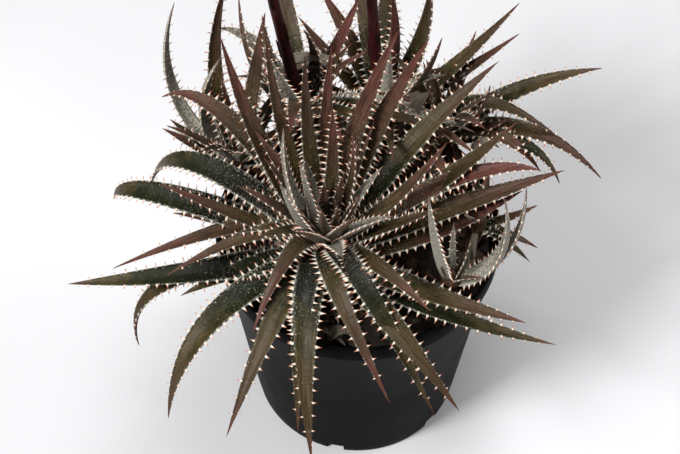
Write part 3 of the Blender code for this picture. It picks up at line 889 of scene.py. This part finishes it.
# %% Dead leaf material
# A dry strip is dull, and split by fibres 0.6 mm wide and 10 mm long.
dry_blade, tree = new_material("dry_leaf_strip", Roughness=0.8, IOR=1.45, Specular_IOR_Level=0.3)
grain = add_node(tree, "Attribute", output="Vector", attribute_name="grain")
age = add_node(tree, "Attribute", output="Fac", attribute_name="pigment")
fibres = stretched_noise(tree, grain, (1.8, 0.1, 1.0), 4.0)
straw = weighted_sum(tree, [(fibres, 0.7), (age, 0.55)])
strip_stops = [(0.25, "#3a2417"), (0.45, "#5e4632"), (0.65, "#62594d"), (0.9, "#82796c")]
strip = add_node(tree, "ValToRGB", {"Fac": straw}, stops=strip_stops)
finish_material(dry_blade, strip, fibres, 0.7, 0.0008)


# %% Dead leaves
SKIRT_REACH = 70 * MM
SKIRT_STEPS = 9
STRIP_STEPS = 10
PUP_SKIRT = 4
SKIRT_COUNT = {
    "rosette_front": 20,
    "rosette_back_left": 14,
    "rosette_back_right": 14,
    "rosette_right": 11,
    "rosette_left": 9,
}


class DeadLeaf(Leaf):
    """A dry strip with its root, knee and tip given directly."""

    def __init__(self, root, knee, tip, width):
        self.root, self.knee, self.tip, self.width = root, knee, tip, width
        run = tip - root
        self.side = Vector((-run.y, run.x, random.uniform(-0.3, 0.3) * run.length)).normalized()
        self.length = self.measured_length()


def pull_in(point):
    """Moves a point towards the pot's axis until it is within the skirt's reach."""
    if point.xy.length > SKIRT_REACH:
        point.xy *= SKIRT_REACH / point.xy.length


def hanging_leaf(rosette):
    """A strip that leaves the stem under the head and droops to the mix, inside the pot's rim."""
    azimuth = random.uniform(0, math.tau)
    out = radial(azimuth)
    root = rosette.centre + out * rosette.stem_radius * 0.9
    root.z = rosette.collar - rosette.stem_radius * random.uniform(0.3, 1.2)
    length = rosette.stem_radius * random.uniform(3.2, 6.5)
    tip = rosette.centre + radial(azimuth + random.uniform(-0.5, 0.5)) * length
    tip.z = SOIL_TOP + random.uniform(2, 22) * MM
    pull_in(tip)
    knee = root + out * length * 0.45
    knee.z = root.z + random.uniform(-0.1, 0.35) * length
    pull_in(knee)
    return DeadLeaf(root, knee, tip, rosette.stem_radius * random.uniform(0.5, 0.95))


skirt = bmesh.new()
for rosette in ROSETTES:
    for index in range(SKIRT_COUNT.get(rosette.name, PUP_SKIRT)):
        strip = hanging_leaf(rosette)
        add_blade(skirt, strip, SKIRT_STEPS, random.random(), 0.0, random.uniform(0, GRAIN_SPAN))

# %% Loose strips
# Strips caught between the heads. Each row: three pixels, each with its height in mm, and the width.
LOOSE_STRIPS = [
    ((404, 128), 205, (418, 96), 232, (430, 92), 222, 8),
    ((396, 112), 206, (410, 84), 230, (428, 100), 216, 7),
    ((388, 138), 200, (410, 118), 222, (436, 112), 206, 6),
    ((284, 62), 214, (300, 52), 232, (345, 60), 222, 7),
    ((290, 70), 206, (320, 54), 226, (352, 74), 214, 6),
    ((470, 150), 186, (482, 132), 206, (500, 148), 190, 7),
    ((328, 338), 160, (338, 322), 172, (352, 336), 158, 7),
    ((322, 328), 162, (336, 334), 164, (346, 346), 156, 4),
]
for start, low, bend, high, end, last, width in LOOSE_STRIPS:
    spots = ((start, low), (bend, high), (end, last))
    strip = DeadLeaf(*[photo_point(spot, height * MM) for spot, height in spots], width * MM)
    age = random.uniform(0.5, 1.0)
    add_blade(skirt, strip, STRIP_STEPS, age, 0.0, random.uniform(0, GRAIN_SPAN))
finish_piece("dead_leaves", skirt, dry_blade)

# %% [markdown]
# ## The flower stalks
# Two young flower stalks rise from the back heads. They are wine red, as thick as a pencil, with a
# grey bloom. The photograph cuts them off at its top edge, so their ends are the usual young spike
# of closed buds, each in the crook of a small bract.

# %% Stalk material
# A smooth waxy skin with fibres 0.7 mm wide and 8 mm long, under patches of pale bloom.
stalk_skin, tree = new_material("wine_red_stalk", Roughness=0.5, IOR=1.45, Specular_IOR_Level=0.25)
place = add_node(tree, "TexCoord", output="Object")
bloom = add_node(tree, "TexNoise", {"Vector": place, "Scale": 90.0, "Detail": 4.0})
fine = stretched_noise(tree, place, (1400, 1400, 120))
wine = add_node(tree, "ValToRGB", {"Fac": fine}, stops=[(0.3, "#1d0607"), (0.7, "#3f1011")])
dusted = add_node(tree, "MapRange", {"Value": bloom, "From Min": 0.5, "From Max": 0.8, "To Max": 0.14})
wine = add_node(tree, "Mix", {0: dusted, 6: wine, 7: linear("#6a5350")}, 2, data_type="RGBA")
finish_material(stalk_skin, wine, fine, 0.3, 0.0005)

# A bud's sepals are a little glossier, and flushed in patches of 4 mm.
bud_skin, tree = new_material("closed_bud", Roughness=0.45, IOR=1.45)
place = add_node(tree, "TexCoord", output="Object")
flush = add_node(tree, "TexNoise", {"Vector": place, "Scale": 260.0, "Detail": 3.0})
petal = add_node(tree, "ValToRGB", {"Fac": flush}, stops=[(0.3, "#7d2f1c"), (0.7, "#b8622f")])
finish_material(bud_skin, petal, flush, 0.3, 0.0005)

# %% Stalks with buds
STALK_TIP_RADIUS = 2.2 * MM
STALK_SIDES = 24
STALK_CUTS = 40
STALK_WAVER = 0.25 * MM
SPIKE_SHARE = 0.36
BRACT_COUNT = 7
BRACT_LENGTH = 15 * MM
BRACT_RADIUS = 1.9 * MM
BRACT_TIP_RADIUS = 0.25 * MM
BRACT_SEAT = 3.2 * MM
BUD_COUNT = 8
BUD_LENGTH = 12 * MM
BUD_RADIUS = 2.6 * MM


def frame_matrix(place, direction):
    """A matrix that stands a shape's Z axis along a direction, at a place."""
    matrix = direction.to_track_quat("Z", "Y").to_matrix().to_4x4()
    matrix.translation = place
    return matrix


for name, (carrier, foot, top) in STALKS.items():
    axis = top - foot
    neck = foot + axis * (1 - SPIKE_SHARE)
    body = bmesh.new()
    bmesh.ops.create_cone(
        body,
        cap_ends=True,
        segments=STALK_SIDES,
        radius1=STALK_RADIUS,
        radius2=STALK_TIP_RADIUS,
        depth=axis.length,
        matrix=frame_matrix((foot + top) / 2, axis),
    )
    long_edges = [e for e in body.edges if e.calc_length() > 50 * MM]
    bmesh.ops.subdivide_edges(body, edges=long_edges, cuts=STALK_CUTS, use_grid_fill=True)
    for vert in body.verts:
        vert.co += noise.noise_vector(vert.co * 60) * STALK_WAVER
    # Bracts: small keeled scales that clasp the stalk, one at each turn of the golden angle.
    upright = axis.to_track_quat("Z", "Y")
    for index in range(BRACT_COUNT):
        share = 0.16 + 0.07 * index
        turn = index * GOLDEN_ANGLE
        out = upright @ Vector((math.cos(turn), math.sin(turn), 0))
        seat = frame_matrix(foot + axis * share + out * BRACT_SEAT, axis.normalized() + out * 0.12)
        bract = bmesh.new()
        bmesh.ops.create_cone(
            bract,
            cap_ends=True,
            segments=8,
            radius1=BRACT_RADIUS,
            radius2=BRACT_TIP_RADIUS,
            depth=BRACT_LENGTH,
            matrix=seat,
        )
        join_data(body, mesh_data("bract", bract))
    finish_piece(name + "_stem", body, stalk_skin, name)

    buds = bmesh.new()
    for index in range(BUD_COUNT):
        rank = (index + 0.5) / BUD_COUNT
        turn = index * GOLDEN_ANGLE
        lean = (upright @ Vector((math.cos(turn), math.sin(turn), 1.5 + 2.5 * rank))).normalized()
        size = BUD_LENGTH * (1 - 0.35 * rank)
        middle = neck + (top - neck) * rank + lean * size * 0.5
        matrix = frame_matrix(middle, lean) @ Matrix.Diagonal((BUD_RADIUS, BUD_RADIUS, size * 0.55, 1))
        bmesh.ops.create_uvsphere(buds, u_segments=14, v_segments=10, radius=1, matrix=matrix)
    finish_piece(name + "_buds", buds, bud_skin, name)

# %% [markdown]
# ## The pot
# The pot is a plain nursery pot of blow-moulded black plastic: a tapered wall, a wider rim band
# and drain slots at its foot. It is a turned shape, so its profile is spun round once, and the
# slots are cut with boxes. Handling has left fine scuffs that catch the light.

# %% Pot plastic
# Dust lies in clouds of 3 cm, and scuffs run round the wall, 6 mm long and 1 mm high. The moulded
# surface has a grain of about 0.3 mm; it is drawn at 1 mm so that it shows.
pot_plastic, tree = new_material("black_moulded_plastic", IOR=1.49, Specular_IOR_Level=0.02)
place = add_node(tree, "TexCoord", output="Object")
dust = add_node(tree, "TexNoise", {"Vector": place, "Scale": 35.0, "Detail": 6.0})
scuffs = stretched_noise(tree, place, (160, 160, 900), 5.0, 0.7)
pebble = add_node(tree, "TexNoise", {"Vector": place, "Scale": 1000.0, "Detail": 2.0})
black = add_node(tree, "ValToRGB", {"Fac": dust}, stops=[(0.38, "#040404"), (0.68, "#151413")])
rubbed = add_node(tree, "MapRange", {"Value": scuffs, "From Min": 0.62, "From Max": 0.8, "To Max": 0.3})
black = add_node(tree, "Mix", {0: rubbed, 6: black, 7: linear("#2b2926")}, 2, data_type="RGBA")
gloss = add_node(tree, "MapRange", {"Value": dust, "To Min": 0.34, "To Max": 0.62})
relief = weighted_sum(tree, [(scuffs, 0.5), (pebble, 1.0)])
finish_material(pot_plastic, black, relief, 0.2, 0.0004, gloss)

# %% Pot shape
POT_HEIGHT = 165 * MM
POT_RIM_RADIUS = 82.5 * MM
POT_BASE_RADIUS = 65 * MM
POT_WALL = 1.6 * MM
POT_FLOOR = 2.5 * MM
POT_SIDES = 96
RIM_BAND = 13 * MM
RIM_STEP = 2.6 * MM
RIM_BEVEL = 1.2 * MM
BAND_BOTTOM = POT_HEIGHT - RIM_BAND
DRAIN_COUNT = 6
DRAIN_FIRST = math.radians(-102)
DRAIN_CUT = Vector((12, 11, 16)) * MM
SHARP_ANGLE = math.radians(32)


def wall_radius(height):
    """The pot wall's outer radius below the rim band."""
    top = POT_RIM_RADIUS - RIM_STEP
    return POT_BASE_RADIUS + (top - POT_BASE_RADIUS) * height / BAND_BOTTOM


def turned(profile, sides):
    """A body of revolution from a profile of (radius, height) points that starts and ends on the axis."""
    mesh = bmesh.new()
    points = [mesh.verts.new((radius, 0, height)) for radius, height in profile]
    edges = [mesh.edges.new(pair) for pair in zip(points, points[1:])]
    bmesh.ops.spin(
        mesh,
        geom=points + edges,
        cent=(0, 0, 0),
        axis=(0, 0, 1),
        angle=math.tau,
        steps=sides,
        use_merge=True,
    )
    bmesh.ops.remove_doubles(mesh, verts=mesh.verts, dist=1e-6)
    bmesh.ops.recalc_face_normals(mesh, faces=mesh.faces)
    return mesh


pot_mesh = turned(
    [
        (0, 1.5 * MM),
        (POT_BASE_RADIUS - 8 * MM, 1.5 * MM),
        (POT_BASE_RADIUS - 7 * MM, 0),
        (POT_BASE_RADIUS - 1.5 * MM, 0),
        (POT_BASE_RADIUS - 0.4 * MM, 0.5 * MM),
        (POT_BASE_RADIUS, 1.6 * MM),
        (wall_radius(10 * MM), 10 * MM),
        (wall_radius(BAND_BOTTOM * 0.5), BAND_BOTTOM * 0.5),
        (wall_radius(BAND_BOTTOM - 1 * MM), BAND_BOTTOM - 1 * MM),
        (wall_radius(BAND_BOTTOM) + 0.5 * MM, BAND_BOTTOM),
        (POT_RIM_RADIUS - 0.5 * MM, BAND_BOTTOM + 0.5 * MM),
        (POT_RIM_RADIUS, BAND_BOTTOM + 1.2 * MM),
        (POT_RIM_RADIUS, POT_HEIGHT - RIM_BEVEL),
        (POT_RIM_RADIUS - 0.35 * RIM_BEVEL, POT_HEIGHT - 0.3 * RIM_BEVEL),
        (POT_RIM_RADIUS - RIM_BEVEL, POT_HEIGHT),
        (POT_RIM_RADIUS - 1.7 * RIM_BEVEL, POT_HEIGHT - 0.3 * RIM_BEVEL),
        (POT_RIM_RADIUS - 2 * RIM_BEVEL, POT_HEIGHT - RIM_BEVEL),
        (wall_radius(BAND_BOTTOM) - POT_WALL, BAND_BOTTOM - RIM_BEVEL),
        (wall_radius(POT_FLOOR) - POT_WALL, POT_FLOOR),
        (0, POT_FLOOR),
    ],
    POT_SIDES,
)
pot = finish_piece("nursery_pot", pot_mesh, pot_plastic, "pot")

# %% Drain slots
slots = bmesh.new()
for index in range(DRAIN_COUNT):
    azimuth = DRAIN_FIRST + index * math.tau / DRAIN_COUNT
    matrix = Matrix.Rotation(azimuth, 4, "Z") @ Matrix.Translation((POT_BASE_RADIUS - 2 * MM, 0, 0))
    bmesh.ops.create_cube(slots, size=1, matrix=matrix @ Matrix.Diagonal((*DRAIN_CUT, 1)))
cutter = new_object("slot_cutter", mesh_data("slots", slots))
opening = pot.modifiers.new("Drain slots", "BOOLEAN")
opening.object = cutter
opening.operation = "DIFFERENCE"
bpy.context.view_layer.update()
cut_mesh = bpy.data.meshes.new_from_object(pot.evaluated_get(bpy.context.evaluated_depsgraph_get()))
pot.modifiers.clear()
pot.data = cut_mesh
pot.data.set_sharp_from_angle(angle=SHARP_ANGLE)
bpy.data.objects.remove(cutter)
print("pot faces:", len(pot.data.polygons))

# %% [markdown]
# ## The potting mix
# Under the leaves lies a loose mix of peat and bark chips. The surface is a turned
# disc roughened with noise, and the chips are cubes with their corners pushed about, scattered
# with a seeded draw.

# %% Mix materials
# Damp peat is dull and nearly black, in crumbs of 2 mm. Bark is browner, in layers of 4 mm.
# Both are darkened past their own colour as painted shade, for the deep shade under the leaves.
dark_mix, tree = new_material("damp_peat_painted_shade", Roughness=0.95, IOR=1.4)
place = add_node(tree, "TexCoord", output="Object")
crumbs = add_node(tree, "TexNoise", {"Vector": place, "Scale": 500.0, "Detail": 6.0, "Roughness": 0.7})
peat_and_shade_stops = [(0.3, "#0b0806"), (0.6, "#211811"), (0.8, "#3d2d1f")]
peat = add_node(tree, "ValToRGB", {"Fac": crumbs}, stops=peat_and_shade_stops)
finish_material(dark_mix, peat, crumbs, 1.0, 0.002)

bark, tree = new_material("pine_bark_chip", Roughness=0.88, IOR=1.4)
place = add_node(tree, "TexCoord", output="Object")
layers = add_node(tree, "TexNoise", {"Vector": place, "Scale": 260.0, "Detail": 5.0})
chip_tone = add_node(tree, "Attribute", output="Fac", attribute_name="chip")
tone = weighted_sum(tree, [(layers, 0.6), (chip_tone, 0.5)])
# Painted shade: the chips are darker than bark, for the shade under the leaves.
bark_and_shade_stops = [(0.2, "#0f0a07"), (0.5, "#23170f"), (0.76, "#3a2819"), (0.86, "#5f574b")]
bark_and_shade_colour = add_node(tree, "ValToRGB", {"Fac": tone}, stops=bark_and_shade_stops)
finish_material(bark, bark_and_shade_colour, layers, 0.7, 0.001)

# %% Mix
BED_DEPTH = 24 * MM
BED_SIDES = 72
BED_RINGS = (0.97, 0.9, 0.8, 0.7, 0.6, 0.5, 0.4, 0.3, 0.2, 0.1)
BED_ROUGHNESS = 1.4 * MM
EDGE_DROP = 3 * MM
inside = wall_radius(SOIL_TOP) - POT_WALL - 0.6 * MM


def bed_height(share):
    """The bed's height at a share of its radius: level, and lower over the outer fifth."""
    return SOIL_TOP - EDGE_DROP * max(0.0, share - 0.8) * 5 - 1 * MM


bed = turned(
    [(0, SOIL_TOP - BED_DEPTH), (inside * 0.94, SOIL_TOP - BED_DEPTH), (inside - 1 * MM, SOIL_TOP - 4 * MM)]
    + [(inside * share, bed_height(share)) for share in (*BED_RINGS, 0)],
    BED_SIDES,
)
for vert in bed.verts:
    if vert.co.z > SOIL_TOP - 10 * MM and vert.co.xy.length < inside * 0.98:
        vert.co.z += noise.noise(vert.co * 110) * BED_ROUGHNESS
finish_piece("peat_bed", bed, dark_mix, "soil")

# %% Bark chips
CHIP_COUNT = 420
CHIP_JITTER = 0.5 * MM
chips = bmesh.new()
chip_layer = chips.verts.layers.float.new("chip")
for index in range(CHIP_COUNT):
    spot = radial(random.uniform(0, math.tau)) * inside * 0.93 * math.sqrt(random.random())
    spot.z = SOIL_TOP - 0.4 * MM
    size = Vector((random.uniform(3, 8), random.uniform(2.5, 5), random.uniform(1.2, 2.6))) * MM
    turn = Matrix.Rotation(random.uniform(0, math.tau), 4, "Z")
    tilt = Matrix.Rotation(random.uniform(-0.4, 0.4), 4, "X")
    matrix = Matrix.Translation(spot) @ (turn @ tilt) @ Matrix.Diagonal((*size, 1))
    made = bmesh.ops.create_cube(chips, size=1, matrix=matrix)["verts"]
    shade = random.random()
    for vert in made:
        vert.co += noise.random_unit_vector() * CHIP_JITTER
        vert[chip_layer] = shade
finish_piece("bark_chips", chips, bark, "soil", smooth=False)
